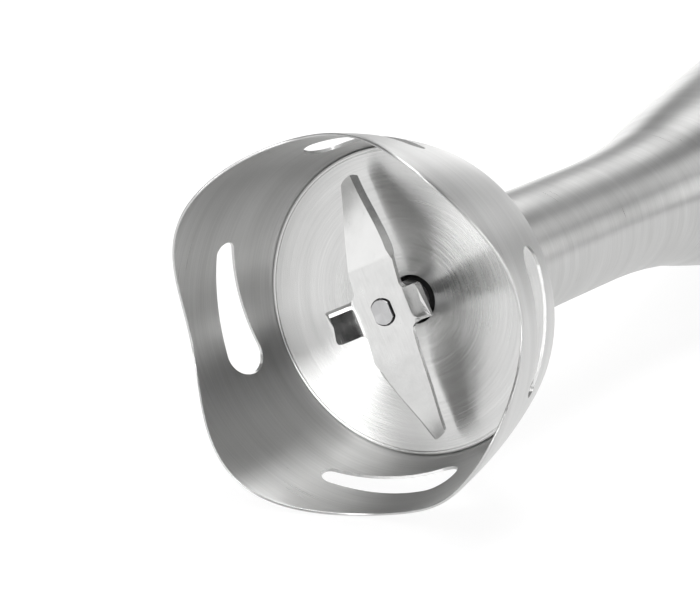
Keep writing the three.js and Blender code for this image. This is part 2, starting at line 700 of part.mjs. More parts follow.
function pushButton(button) {
  const flangeBottom = button.flangeTop - BUTTON_FLANGE;
  const head = upZ(buttonShape(button, 0), flangeBottom, 50, 6).intersect(handleForm(-BUTTON_PROUD));
  const flange = upZ(buttonShape(button, BUTTON_FLANGE_EDGE), flangeBottom, button.flangeTop, 6);
  const postBottom = SWITCH_TOP + BUTTON_TRAVEL + 0.4;
  const post = block([button.x - 2, button.x + 2], [-2, 2], [postBottom, button.flangeTop]);
  return head.add(flange).add(post);
}

function circuitBoard() {
  return block([BOARD.from, BOARD.to], [-BOARD.halfWidth, BOARD.halfWidth], [BOARD.bottom, BOARD.top]);
}

function buttonSpring(button) {
  const start = new THREE.Vector3(button.x - 6.2, 0, BOARD.top + GAP);
  const length = button.flangeTop - BUTTON_FLANGE - GAP - start.z;
  return spring(2, length, 4, new THREE.Vector3(0, 0, 1), start);
}

function microswitch(button) {
  return block([button.x - 3.2, button.x + 3.2], [-6.4, 6.4], [BOARD.top + GAP, SWITCH_TOP]);
}

function potentiometer() {
  return rod(367, CAP_INSIDE - GAP, 8.5, SMALL, 0, DIAL_HEIGHT)
    .subtract(rod(369, CAP_INSIDE + 1, DIAL_STEM + GAP, SMALL, 0, DIAL_HEIGHT));
}

function speedDial() {
  const centre = [ROUND, 0, DIAL_HEIGHT];
  const knobShape = flutedShape(DIAL_RADIUS - 0.7, DIAL_RADIUS, DIAL_FLUTES, 4);
  const knob = alongX(knobShape, DIAL_START, DIAL_END, DIAL_HEIGHT);
  const crown = turned([
    [DIAL_START, 0], [DIAL_START, 12], [DIAL_END - 1.6, 12], [DIAL_END, 10], [DIAL_END, 0],
  ], ...centre);
  const pointer = block([DIAL_END - 0.7, DIAL_END + 1], [-0.8, 0.8], [DIAL_HEIGHT + 3, DIAL_HEIGHT + 12]);
  const stem = rod(369.5, DIAL_START + 1, DIAL_STEM, SMALL, 0, DIAL_HEIGHT);
  return knob.intersect(crown).subtract(pointer).add(stem);
}

function topCap() {
  let cap = turned([
    [CAP_START, 28.4], [371, 28], [375.5, 26.6], [377.6, 24.4], [CAP_FACE, 21.5], [CAP_FACE, 0],
    [CAP_INSIDE, 0], [CAP_INSIDE, 21.5], [373.5, 24.2], [370, 25.2], [CAP_START, 25.4],
  ], ROUND);
  cap = cap.subtract(rod(370, 380, DIAL_STEM + 2 * GAP, SMALL, 0, DIAL_HEIGHT));
  cap = cap.subtract(rod(370, 380, 5.8, SMALL, 0, GLAND_HEIGHT));
  for (const angle of [-24, 0, 24, 156, 180, 204]) {
    const geometry = new THREE.BoxGeometry(7, 8, 2);
    geometry.translate(366.5, 27, 0);
    geometry.rotateX(angle * DEGREE);
    cap = cap.subtract(solid(geometry));
  }
  return cap;
}

function cordGland() {
  return turned([[373, 3.5], [373, 5.5], [378.6, 5.5], [378.6, 7.4], [380, 7.4], [384.5, 5], [384.5, 3.5]],
    SMALL, 0, GLAND_HEIGHT);
}

// ---------------------------------------------------------------- assembly

const group = new THREE.Group();
group.name = 'immersion_blender';

function add(name, piece, look) {
  const { vertProperties, triVerts } = piece.getMesh();
  const geometry = new THREE.BufferGeometry();
  geometry.setAttribute('position', new THREE.BufferAttribute(new Float32Array(vertProperties), 3));
  geometry.setIndex(new THREE.BufferAttribute(new Uint32Array(triVerts), 1));
  geometry.translate(-LENGTH_CENTRE, 0, AXIS_HEIGHT);
  geometry.computeVertexNormals();
  const mesh = new THREE.Mesh(geometry, new THREE.MeshStandardMaterial(look));
  mesh.name = name;
  group.add(mesh);
}

add('bell', bell(), BRUSHED_STEEL);
add('bell_floor', bellFloor(), BRUSHED_STEEL);
add('shaft_seal', shaftSeal(), BLACK_RUBBER);
add('lower_bush', ring(7.8, 19.6, SHAFT_BORE, SLEEVE_BORE - GAP), BRONZE);
add('stem_tube', stemTube(), BRUSHED_STEEL);
add('stem_liner', ring(LINER.from, LINER.to, LINER.bore, LINER.radius), PALE_PLASTIC);
add('foot_collar', footCollar(), GREY_PLASTIC);
add('upper_bush', ring(162, 176, SHAFT_BORE, SLEEVE_BORE - GAP), BRONZE);

add('drive_shaft', driveShaft(), SHAFT_STEEL);
add('blade', blade(), BLADE_STEEL);
add('blade_spacer', ring(-6.8, 2.2, SHAFT_BORE, SPACER_RADIUS), SHAFT_STEEL);
add('shaft_clip', ring(20.4, 21.2, SHAFT_BORE, 5), SHAFT_STEEL);
add('foot_coupling', footCoupling(), DARK_PLASTIC);

add('motor_collar', motorCollar(), DARK_PLASTIC);
add('spigot_ring', ring(187.8, 189.2, 19.2, SPIGOT_RADIUS + 0.1, ROUND), BLACK_RUBBER);
for (const [side, word] of [[1, 'left'], [-1, 'right']]) {
  add(`release_button_${word}`, releaseButton(side), GREY_PLASTIC);
  add(`release_spring_${word}`, releaseSpring(side), SHAFT_STEEL);
  add(`brush_holder_${word}`, brushHolder(side), BRASS);
  add(`brush_${word}`, brush(side), CARBON);
  add(`motor_screw_${word}`, motorScrew(side), SHAFT_STEEL);
}
add('motor_coupling', motorCoupling(), PALE_PLASTIC);
add('motor_shaft', rod(...MOTOR_SHAFT, SHAFT_RADIUS), SHAFT_STEEL);
add('front_bracket', bracket(FRONT_BRACKET, 222), ALUMINIUM);
add('rear_bracket', bracket(REAR_BRACKET, 285), ALUMINIUM);
add('front_bearing', ballBearing(216.3), SHAFT_STEEL);
add('rear_bearing', ballBearing(279.2), SHAFT_STEEL);
add('fan', fan(), PALE_PLASTIC);
add('stator', stator(), LAMINATION);
add('field_coil_upper', fieldCoil(1), COPPER);
add('field_coil_lower', fieldCoil(-1), COPPER);
add('armature', armature(), LAMINATION);
add('commutator', commutator(), COPPER);

add('housing_front', housingFront(), DARK_PLASTIC);
add('housing_back', housingBack(), DARK_PLASTIC);
add('back_grip', backGrip(), SOFT_GRIP);
add('on_button', pushButton(ON_BUTTON), GREY_PLASTIC);
add('turbo_button', pushButton(TURBO_BUTTON), GREY_PLASTIC);
add('on_button_spring', buttonSpring(ON_BUTTON), SHAFT_STEEL);
add('turbo_button_spring', buttonSpring(TURBO_BUTTON), SHAFT_STEEL);
add('on_microswitch', microswitch(ON_BUTTON), DARK_PLASTIC);
add('turbo_microswitch', microswitch(TURBO_BUTTON), DARK_PLASTIC);
add('circuit_board', circuitBoard(), BOARD_GREEN);
add('capacitor', block([300, 330], [-9, 9], [-8, BOARD.bottom - GAP]), PALE_PLASTIC);
add('potentiometer', potentiometer(), ALUMINIUM);
add('speed_dial', speedDial(), GREY_PLASTIC);
add('top_cap', topCap(), DARK_PLASTIC);
add('cord_gland', cordGland(), BLACK_RUBBER);

export default group;
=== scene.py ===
"""Looks for the immersion blender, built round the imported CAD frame. Metres, +X along the shaft, +Z up."""
import math

import bmesh
import bpy
from mathutils import Matrix, Vector
from mathutils.geometry import delaunay_2d_cdt, interpolate_bezier


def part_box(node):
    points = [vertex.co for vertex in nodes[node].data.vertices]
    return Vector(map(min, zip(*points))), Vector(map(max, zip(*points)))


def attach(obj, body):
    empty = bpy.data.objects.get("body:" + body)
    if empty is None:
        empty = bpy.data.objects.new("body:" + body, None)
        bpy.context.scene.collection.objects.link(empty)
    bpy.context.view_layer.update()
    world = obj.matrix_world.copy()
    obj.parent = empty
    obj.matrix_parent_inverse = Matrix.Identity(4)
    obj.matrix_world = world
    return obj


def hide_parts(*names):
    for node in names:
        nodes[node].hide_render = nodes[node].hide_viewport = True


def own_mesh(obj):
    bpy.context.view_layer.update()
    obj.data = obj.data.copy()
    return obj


MM = 0.001

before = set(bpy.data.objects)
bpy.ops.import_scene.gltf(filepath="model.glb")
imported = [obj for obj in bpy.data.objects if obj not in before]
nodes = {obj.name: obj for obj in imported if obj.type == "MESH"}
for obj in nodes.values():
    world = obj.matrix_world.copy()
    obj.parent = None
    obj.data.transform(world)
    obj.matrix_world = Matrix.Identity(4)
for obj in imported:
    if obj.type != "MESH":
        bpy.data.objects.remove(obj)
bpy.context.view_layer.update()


def corner(node, which):
    """Lowest (0) or highest (1) corner of a CAD node, in metres."""
    return Vector(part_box(node)[which])


# The seam between bell and floor plate, on the shaft axis: every X below is measured from it in millimetres.
PLATE_BEAD = 0.15
AXIS_HEIGHT = (corner("stem_tube", 0).z + corner("stem_tube", 1).z) / 2
SEAM = Vector((corner("bell_floor", 0).x + PLATE_BEAD * MM, 0, AXIS_HEIGHT))

# Bell. In front of the seam its radius is SEAM_RADIUS + FLARE * depth - CURL * depth squared, and its rim
# lies at RIM_DEPTH, give or take RIM_WAVE round the lobes. Behind the seam it narrows along SEAM_FOLD and
# BELL_BACK, as (X, radius).
SEAM_RADIUS, FLARE, CURL = 27.99, 0.2686, 0.003424
RIM_DEPTH, RIM_WAVE, LOBES, LOBE_ANGLE = 23.67, 3.375, 4, math.radians(-57.6)
WALL = 0.5
SEAM_FOLD = [(1.05, 27.25), (0.55, 27.68), (0, 27.95)]
BELL_BACK = [(1.6, 26.75), (4, 24.3), (7, 21.6), (10, 19.05), (13, 16.8), (16, 14.95), (19, 13.5),
             (22, 12.55), (24, 12.2)]
# Each end of a slot is (angle round the shaft, depth in front of the seam, radius).
SLOT_RADIUS = 29.2
SLOT_WIDE = (math.radians(-21.6), 8.9, 3.98)
SLOT_NARROW = (math.radians(15.4), 12.05, 1.98)
SLOT_RIM_SAG, SLOT_PLATE_SAG = 0.55, 0.25

# Floor plate: a shallow dish with a groove and a bead round its edge, and a bearing sleeve behind it.
DISH_DEPTH, HUB_RADIUS, FACE_EDGE = 2.3, 4.3, 26.45
GROOVE = [(0.16, 26.52), (0.16, 26.6)]
BEAD = [(-0.08, 26.66), (-0.14, 26.78), (-PLATE_BEAD, 26.9), (-0.12, 27.05), (-0.02, 27.18), (0.12, 27.2)]
PLATE_BACK = [(0.7, 26.4), (2.8, 8.2), (20, 8.2), (20, 6.4), (4.2, 6.4), (4.2, HUB_RADIUS)]

# Stem, as (X, radius).
STEM = [(24.3, 12.15), (36, 12.15), (50, 12.15), (64, 12.35), (79, 12.6), (88, 12.95), (97, 13.6),
        (105, 14.45), (113, 15.5), (126, 18.0), (143, 21.0), (160.7, 23.8), (175, 26.0), (190, 28.1),
        (196, 28.5), (199, 28.6)]

# Blade, in its own frame: U along the wings, V across them. The wings bend back at WING_HINGE and the tabs
# bend forward at their roots, where U is under TAB_BORDER. LEADING, TIP and TRAILING go round one wing, and
# the other is its half turn. The wings' bevel is ground only where V is over BEVEL_SIDE.
BLADE_ANGLE = math.radians(-115.8)
BLADE_FACE, BLADE_THICKNESS = -8.1, 1.0
WING_BEND, WING_HINGE = math.radians(12.5), 8
TAB_BEND, TAB_ROOT, TAB_REACH = math.radians(30), 4.9, 10.1
TAB_LOW, TAB_HIGH = -3.5, 2.6
TAB_BORDER = 3.9
BEND_RADIUS = 1.5
BEVEL, BEVEL_SINK, BEVEL_START, BEVEL_FULL = 0.9, 0.85, 7.7, 9.6
BEVEL_SIDE = 1.9
TAB_BEVEL = 0.72
LEADING = [(3.5, 4.95), (6.2, 5.3), (8, 5.6), (9.6, 5.75), (11.2, 5.6), (14.2, 5.0), (17.6, 4.15),
           (20.6, 3.4), (23.75, 2.8)]
TIP = [(23.5, 0.2), (23.85, 1.0), (24.0, 1.8), (24.0, 2.3)]
TRAILING = [(3.9, -4.7), (4.6, -4.1), (8, -3.65), (10, -3.25), (15, -2.2), (19.5, -1.1), (23, -0.35)]
# Radius of the hole, and half the distance across its flats.
SHAFT_HOLE = (2.45, 2.05)
# The blade's faces are divided at this spacing, and no nearer to its borders than this.
GRID_STEP, GRID_MARGIN = 0.6, 0.3

# Camera.
LENS, SENSOR_WIDTH = 100, 36
CAMERA_TILT = math.radians(90 - 13.72)
CAMERA_TURN = math.radians(-59.65)
CAMERA_OFFSET = Vector((-285.52, -155.96, 79.78)) * MM


# ---------------------------------------------------------------- mesh helpers

def smooth_curve(points, steps):
    """The points of a Catmull-Rom curve through `points`, with `steps` points for each stretch."""
    result = []
    for i in range(len(points) - 1):
        before = Vector(points[max(i - 1, 0)])
        start, end = Vector(points[i]), Vector(points[i + 1])
        after = Vector(points[min(i + 2, len(points) - 1)])
        knots = [v.to_3d() for v in (start, start + (end - before) / 6, end - (after - start) / 6, end)]
        result += [p.to_2d() for p in interpolate_bezier(*knots, steps + 1)[:-1]]
    return result + [Vector(points[-1])]


def arc(centre, radius, start, end, steps):
    """Points along a circular arc, angles in degrees."""
    angles = [math.radians(start + (end - start) * i / steps) for i in range(steps + 1)]
    return [Vector((centre[0] + radius * math.cos(a), centre[1] + radius * math.sin(a))) for a in angles]


def make_object(name, mesh_builder):
    """A new object at the origin from a bmesh in millimetres round the seam, moved into the row frame."""
    mesh = bpy.data.meshes.new(name)
    bmesh.ops.recalc_face_normals(mesh_builder, faces=mesh_builder.faces)
    mesh_builder.to_mesh(mesh)
    mesh_builder.free()
    mesh.transform(Matrix.Translation(SEAM) @ Matrix.Scale(MM, 4))
    mesh.shade_smooth()
    made = bpy.data.objects.new(name, mesh)
    bpy.context.scene.collection.objects.link(made)
    return made


def revolve(name, outline, segments, place=None):
    """A solid turned about X. `outline` is a closed run of (x, radius); `place` may move points round X."""
    builder = bmesh.new()
    rings = []
    for i in range(segments):
        angle = 2 * math.pi * i / segments + LOBE_ANGLE
        ring = []
        for x, radius in outline:
            px, pr = place(x, radius, angle) if place else (x, radius)
            ring.append(builder.verts.new((px, pr * math.cos(angle), pr * math.sin(angle))))
        rings.append(ring)
    count = len(outline)
    for i in range(segments):
        here, there = rings[i], rings[(i + 1) % segments]
        for j in range(count):
            k = (j + 1) % count
            builder.faces.new((here[j], here[k], there[k], there[j]))
    bmesh.ops.remove_doubles(builder, verts=builder.verts, dist=1e-5)
    return make_object(name, builder)


def sharpen(made, degrees=32):
    """Keeps edges steeper than `degrees` sharp in an otherwise smooth mesh."""
    made.data.set_sharp_from_angle(angle=math.radians(degrees))


def apply_modifiers(made):
    """Bakes an object's modifiers into its mesh."""
    evaluated = made.evaluated_get(bpy.context.evaluated_depsgraph_get())
    baked = bpy.data.meshes.new_from_object(evaluated)
    made.modifiers.clear()
    made.data = baked


def cut(made, cutters):
    """Subtracts each cutter from the object and removes the cutter."""
    for cutter in cutters:
        modifier = made.modifiers.new("cut", "BOOLEAN")
        modifier.object = cutter
        modifier.operation = "DIFFERENCE"
        modifier.solver = "EXACT"
        apply_modifiers(made)
        bpy.data.objects.remove(cutter)


# ---------------------------------------------------------------- node helpers

def wire(tree, kind, inputs=None, **settings):
    """Adds a node to a tree; each input is a value or another node's output."""
    made = tree.nodes.new(kind)
    for key, value in settings.items():
        setattr(made, key, value)
    for key, value in (inputs or {}).items():
        if isinstance(value, bpy.types.NodeSocket):
            tree.links.new(value, made.inputs[key])
        else:
            made.inputs[key].default_value = value
    return made


def calc(tree, operation, a, b=0.0, clamp=False):
    return wire(tree, "ShaderNodeMath", {0: a, 1: b}, operation=operation, use_clamp=clamp).outputs[0]


def remap(tree, value, low, high, new_low, new_high):
    inputs = {"Value": value, "From Min": low, "From Max": high, "To Min": new_low, "To Max": new_high}
    return wire(tree, "ShaderNodeMapRange", inputs).outputs[0]


def spread(tree, value, low, high):
    """Stretches a noise value, which mostly lies between 0.3 and 0.7, to run from `low` to `high`."""
    return remap(tree, value, 0.3, 0.7, low, high)


def dot(tree, a, b):
    return wire(tree, "ShaderNodeVectorMath", {0: a, 1: b}, operation="DOT_PRODUCT").outputs["Value"]


def noise(tree, vector, scale, detail=2.0, roughness=0.5):
    inputs = {"Vector": vector, "Scale": scale, "Detail": detail, "Roughness": roughness}
    return wire(tree, "ShaderNodeTexNoise", inputs).outputs["Fac"]


def tint(tree, color, brightness):
    """A colour multiplied by a brightness that varies over the surface."""
    return wire(tree, "ShaderNodeVectorMath", {0: color, "Scale": brightness}, operation="SCALE").outputs[0]


def object_position(tree):
    return wire(tree, "ShaderNodeTexCoord").outputs["Object"]


def axis_coordinates(tree):
    """(x, radius, unit y, unit z) about the shaft axis, in metres."""
    x, y, z = wire(tree, "ShaderNodeSeparateXYZ", {0: object_position(tree)}).outputs
    height = calc(tree, "SUBTRACT", z, AXIS_HEIGHT)
    squared = calc(tree, "ADD", calc(tree, "MULTIPLY", y, y), calc(tree, "MULTIPLY", height, height))
    radius = calc(tree, "MAXIMUM", calc(tree, "SQRT", squared), 1e-5)
    return x, radius, calc(tree, "DIVIDE", y, radius), calc(tree, "DIVIDE", height, radius)


def edge_mask(tree, width):
    """1 on edges and corners, 0 on open faces: where handling wears a surface."""
    rounded = wire(tree, "ShaderNodeBevel", {"Radius": width}, samples=4).outputs[0]
    flat = wire(tree, "ShaderNodeNewGeometry").outputs["Normal"]
    return remap(tree, dot(tree, rounded, flat), 0.995, 0.8, 0, 1)


def add_bump(tree, shader, strength, depth, height):
    """Raises the surface by `height` times `depth` metres, in the shading only."""
    bump = wire(tree, "ShaderNodeBump", {"Strength": strength, "Distance": depth, "Height": height})
    tree.links.new(bump.outputs[0], shader.inputs["Normal"])


def new_material(name):
    material = bpy.data.materials.new(name)
    material.use_nodes = True
    tree = material.node_tree
    return material, tree, tree.nodes["Principled BSDF"]


# ---------------------------------------------------------------- materials

# Grain that runs round the shaft spreads a reflection across itself, a quarter turn from the tangent.
QUARTER_TURN = 0.25


def turned_steel(name, color, roughness, anisotropy, grain_depth, pitch, along=1.0, across=0.0):
    """Brushed steel whose grain runs round the shaft; `pitch` is the spacing of the finest lines."""
    material, tree, shader = new_material(name)
    x, radius, unit_y, unit_z = axis_coordinates(tree)
    run = calc(tree, "ADD", calc(tree, "MULTIPLY", x, along), calc(tree, "MULTIPLY", radius, across))

    def rings(spacing, stretch):
        line = calc(tree, "DIVIDE", run, spacing)
        y = calc(tree, "MULTIPLY", unit_y, stretch)
        z = calc(tree, "MULTIPLY", unit_z, stretch)
        return wire(tree, "ShaderNodeCombineXYZ", {0: line, 1: y, 2: z}).outputs[0]

    fine = noise(tree, rings(pitch, 1.2), 1.0, 3.0, 0.6)
    broad = noise(tree, rings(pitch * 9, 0.7), 1.0, 2.0)
    smudge = noise(tree, object_position(tree), 60.0, 3.0)
    worn = edge_mask(tree, 0.0004)
    brightness = calc(tree, "ADD", spread(tree, fine, 0.92, 1.04), spread(tree, broad, -0.05, 0.05))
    brightness = calc(tree, "ADD", brightness, calc(tree, "MULTIPLY", worn, 0.12))
    tree.links.new(tint(tree, color, brightness), shader.inputs["Base Color"])
    rough = calc(tree, "ADD", spread(tree, fine, roughness - 0.02, roughness + 0.02),
                 remap(tree, smudge, 0.35, 0.7, -0.02, 0.03))
    rough = calc(tree, "SUBTRACT", rough, calc(tree, "MULTIPLY", worn, 0.08), clamp=True)
    tree.links.new(rough, shader.inputs["Roughness"])
    add_bump(tree, shader, 0.5, grain_depth, fine)
    tangent = wire(tree, "ShaderNodeTangent", direction_type="RADIAL", axis="X")
    tree.links.new(tangent.outputs[0], shader.inputs["Tangent"])
    shader.inputs["Metallic"].default_value = 1.0
    shader.inputs["Anisotropic"].default_value = anisotropy
    shader.inputs["Anisotropic Rotation"].default_value = QUARTER_TURN
    return material


def ground_steel(name, color, roughness, direction, grain_depth=0.000004):
    """Steel ground in straight strokes along `direction`."""
    material, tree, shader = new_material(name)
    position = object_position(tree)
    turn = Vector(direction).to_track_quat("X", "Z").inverted().to_euler()
    lined_up = wire(tree, "ShaderNodeMapping", {"Vector": position, "Rotation": turn}).outputs[0]
    stretched = wire(tree, "ShaderNodeMapping", {"Vector": lined_up, "Scale": (300, 9000, 9000)}).outputs[0]
    strokes = noise(tree, stretched, 1.0, 3.0, 0.6)
    patches = noise(tree, position, 350.0, 3.0)
    worn = edge_mask(tree, 0.00025)
    brightness = calc(tree, "ADD", spread(tree, strokes, 0.93, 1.03), calc(tree, "MULTIPLY", worn, 0.15))
    brightness = calc(tree, "ADD", brightness, spread(tree, patches, -0.04, 0.04))
    tree.links.new(tint(tree, color, brightness), shader.inputs["Base Color"])
    rough = calc(tree, "ADD", spread(tree, strokes, roughness - 0.05, roughness + 0.05),
                 spread(tree, patches, -0.04, 0.05))
    tree.links.new(rough, shader.inputs["Roughness"])
    add_bump(tree, shader, 0.4, grain_depth, strokes)
    shader.inputs["Metallic"].default_value = 1.0
    return material


def moulded(name, color, roughness, texture_size, texture_depth, metallic=0.0, wear=0.35):
    """Moulded plastic, rubber or cast metal: fine eroded texture, faint mottling, paler worn edges."""
    material, tree, shader = new_material(name)
    position = object_position(tree)
    grain = noise(tree, position, 1 / texture_size, 2.0, 0.6)
    mottle = noise(tree, position, 45.0, 4.0)
    worn = calc(tree, "MULTIPLY", edge_mask(tree, 0.0005), remap(tree, mottle, 0.35, 0.65, 0.2, 1.0))
    brightness = calc(tree, "ADD", spread(tree, mottle, 0.92, 1.06), calc(tree, "MULTIPLY", worn, wear))
    brightness = calc(tree, "ADD", brightness, spread(tree, grain, -0.04, 0.04))
    tree.links.new(tint(tree, color, brightness), shader.inputs["Base Color"])
    rough = calc(tree, "ADD", spread(tree, mottle, roughness - 0.05, roughness + 0.06),
                 calc(tree, "MULTIPLY", worn, -0.12))
    tree.links.new(rough, shader.inputs["Roughness"])
    add_bump(tree, shader, 0.35, texture_depth, grain)
    shader.inputs["Metallic"].default_value = metallic
    return material


def layered(name, color, dark, roughness, spacing, direction):
    """Metal made of thin layers or windings: lines `spacing` apart, stacked along `direction`."""
    material, tree, shader = new_material(name)
    position = object_position(tree)
    phase = calc(tree, "MULTIPLY", dot(tree, position, direction), 2 * math.pi / spacing)
    ridge = remap(tree, calc(tree, "SINE", phase), -1, 1, 0, 1)
    mottle = noise(tree, position, 220.0, 3.0)
    mix = wire(tree, "ShaderNodeMix", {"Factor": ridge, "A": (*dark, 1), "B": (*color, 1)}, data_type="RGBA")
    tree.links.new(mix.outputs["Result"], shader.inputs["Base Color"])
    tree.links.new(spread(tree, mottle, roughness - 0.07, roughness + 0.09), shader.inputs["Roughness"])
    add_bump(tree, shader, 0.6, spacing * 0.3, ridge)
    shader.inputs["Metallic"].default_value = 1.0
    return material


# ---------------------------------------------------------------- bell, plate and stem

def bell_radius(depth):
    return SEAM_RADIUS + FLARE * depth - CURL * depth * depth


def scallop(x, radius, angle):
    """Stretches the wall in front of the seam so that its edge follows the four lobes."""
    if x >= 0:
        return x, radius
    depth = -x
    stretched = depth * (RIM_DEPTH + RIM_WAVE * math.cos(LOBES * (angle - LOBE_ANGLE))) / RIM_DEPTH
    return -stretched, radius + bell_radius(stretched) - bell_radius(depth)


def bowed(start, end, sag, steps):
    """The points between two ends of a line that bows towards the plate by `sag`."""
    shares = [i / steps for i in range(1, steps)]
    return [start.lerp(end, t) + Vector((0, 4 * sag * t * (1 - t))) for t in shares]


def slot_outline():
    """The teardrop, drawn flat against the wall: (across, along) in millimetres."""
    middle = (SLOT_WIDE[0] + SLOT_NARROW[0]) / 2
    wide = Vector(((SLOT_WIDE[0] - middle) * SLOT_RADIUS, -SLOT_WIDE[1]))
    narrow = Vector(((SLOT_NARROW[0] - middle) * SLOT_RADIUS, -SLOT_NARROW[1]))
    lean = math.degrees(math.atan2(narrow.y - wide.y, narrow.x - wide.x))
    touch = math.degrees(math.acos((SLOT_WIDE[2] - SLOT_NARROW[2]) / (narrow - wide).length))
    wide_end = arc(wide, SLOT_WIDE[2], lean + touch, lean - touch + 360, 30)
    narrow_end = arc(narrow, SLOT_NARROW[2], lean - touch, lean + touch, 16)
    rim_side = bowed(wide_end[-1], narrow_end[0], SLOT_RIM_SAG, 8)
    plate_side = bowed(narrow_end[-1], wide_end[0], SLOT_PLATE_SAG, 8)
    outline = wide_end + rim_side + narrow_end + plate_side
    return [Vector((SLOT_RADIUS * math.sin(p.x / SLOT_RADIUS), p.y)) for p in outline]


def slot_cutter(angle):
    builder = bmesh.new()
    across = Vector((0, -math.sin(angle), math.cos(angle)))
    out = Vector((0, math.cos(angle), math.sin(angle)))
    along = Vector((1, 0, 0))
    loops = []
    for reach in (20, 40):
        loops.append([builder.verts.new(across * p.x + along * p.y + out * reach) for p in slot_outline()])
    builder.faces.new(loops[0])
    builder.faces.new(loops[1])
    for i in range(len(loops[0])):
        j = (i + 1) % len(loops[0])
        builder.faces.new((loops[0][i], loops[0][j], loops[1][j], loops[1][i]))
    return make_object("slot_cutter", builder)


def build_bell(material):
    depths = [RIM_DEPTH * i / 16 for i in range(1, 16)]
    back = smooth_curve(BELL_BACK, 4)
    outline = [(p.x, p.y) for p in reversed(back)]
    outline += SEAM_FOLD
    outline += [(-d, bell_radius(d)) for d in depths]
    edge = RIM_DEPTH - WALL / 2
    rim = arc((edge, bell_radius(edge) - WALL / 2), WALL / 2, 90, -90, 8)
    outline += [(-p.x, p.y) for p in rim]
    outline += [(-d, bell_radius(d) - WALL) for d in reversed(depths)]
    outline += [(0, SEAM_RADIUS - WALL)]
    outline += [(p.x, p.y - WALL * 1.3) for p in back]
    bell = revolve("bell_shell", outline, 288, scallop)
    middle = (SLOT_WIDE[0] + SLOT_NARROW[0]) / 2
    cut(bell, [slot_cutter(middle + i * math.pi / 2) for i in range(LOBES)])
    bell.data.materials.clear()
    bell.data.materials.append(material)
    sharpen(bell, 40)
    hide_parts("bell")
    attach(bell, "foot")


def build_plate(material):
    steps = 26
    start = HUB_RADIUS + 0.3
    face = []
    for i in range(steps + 1):
        share = i / steps
        face.append((DISH_DEPTH * (1 - share), start + (FACE_EDGE - start) * share))
    hub = [(DISH_DEPTH + 0.2, HUB_RADIUS), (DISH_DEPTH + 0.06, HUB_RADIUS + 0.08)]
    plate = revolve("floor_plate", hub + face + GROOVE + BEAD + PLATE_BACK, 240)
    plate.data.materials.append(material)
    sharpen(plate, 40)
    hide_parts("bell_floor")
    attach(plate, "foot")


def build_stem(material):
    outer = smooth_curve(STEM, 6)
    outline = [(p.x, p.y) for p in outer] + [(p.x, p.y - WALL) for p in reversed(outer[::3])]
    stem = revolve("stem", outline, 192)
    stem.data.materials.append(material)
    sharpen(stem, 40)
    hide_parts("stem_tube")
    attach(stem, "foot")


# ---------------------------------------------------------------- blade

def half_outline():
    """One wing and the tab beside it, anticlockwise from the trailing edge's root."""
    trailing = [tuple(p) for p in smooth_curve(TRAILING, 3)]
    leading = [tuple(p) for p in smooth_curve(LEADING[::-1], 3)]
    high_side = [(TAB_HIGH + 0.3, 5.15), (TAB_HIGH, 5.6), (TAB_HIGH, 9.3), (TAB_HIGH - 0.2, 9.85),
                 (TAB_HIGH - 0.7, TAB_REACH)]
    low_side = [(TAB_LOW + 0.2, TAB_REACH), (TAB_LOW, 9.9), (TAB_LOW, 5.6), (TAB_LOW - 0.15, 5.1)]
    return trailing + TIP + leading + high_side + low_side


def turned_half(points):
    """The points turned half round, from one half of the blade to the other."""
    return [(-u, -v) for u, v in points]


def inside(point, polygon):
    """True if the point is within the polygon."""
    u, v = point
    crossings = 0
    for (u0, v0), (u1, v1) in zip(polygon, polygon[1:] + polygon[:1]):
        if (v0 > v) != (v1 > v) and u < u0 + (v - v0) * (u1 - u0) / (v1 - v0):
            crossings += 1
    return crossings % 2 == 1


def leading_edge(u):
    """V of the cutting edge of the wing that points along +U."""
    for (u0, v0), (u1, v1) in zip(LEADING, LEADING[1:]):
        if u <= u1:
            return v0 + (v1 - v0) * (u - u0) / (u1 - u0)
    return LEADING[-1][1]


def bevel_width(u):
    return BEVEL * min(max((u - BEVEL_START) / (BEVEL_FULL - BEVEL_START), 0), 1)


def bevel_depth(u, v):
    """How far the ground faces drop the rim-side face at (u, v)."""
    if v < 0:
        u, v = -u, -v
    if u > BEVEL_START + 0.05 and v > BEVEL_SIDE:
        width = bevel_width(u)
        return min(max((v - leading_edge(u) + width) / width, 0), 1) * BEVEL_SINK
    if v > TAB_ROOT + 0.6 and u < TAB_LOW + TAB_BEVEL:
        return min(max((TAB_LOW + TAB_BEVEL - u) / TAB_BEVEL, 0), 1) * BEVEL_SINK
    return 0


def bend(value, hinge, angle, depth):
    """Bends a strip upwards from `hinge`: its new (distance, depth) past a rounded bend."""
    out = abs(value) - hinge
    if out <= 0:
        return value, depth
    turned = min(out / BEND_RADIUS, angle)
    straight = max(out - BEND_RADIUS * angle, 0)
    reach = (BEND_RADIUS + depth) * math.sin(turned) + straight * math.cos(turned)
    sink = (BEND_RADIUS + depth) * math.cos(turned) - BEND_RADIUS - straight * math.sin(turned)
    return math.copysign(hinge + reach, value), sink


def formed(u, v, depth):
    """The flat sheet's point after its tabs are bent towards the rim and its wings towards the plate."""
    tab_hinge = TAB_ROOT - 0.2
    if abs(v) > tab_hinge and abs(u) < TAB_BORDER:
        v, depth = bend(v, tab_hinge, TAB_BEND, depth)
        return u, v, depth
    u, lift = bend(u, WING_HINGE, WING_BEND, -depth)
    return u, v, -lift


def oval_hole():
    """The blade's hole: a circle with two flats."""
    radius, flat = SHAFT_HOLE
    return [(p.x, max(min(p.y, flat), -flat)) for p in arc((0, 0), radius, 0, 354, 59)]


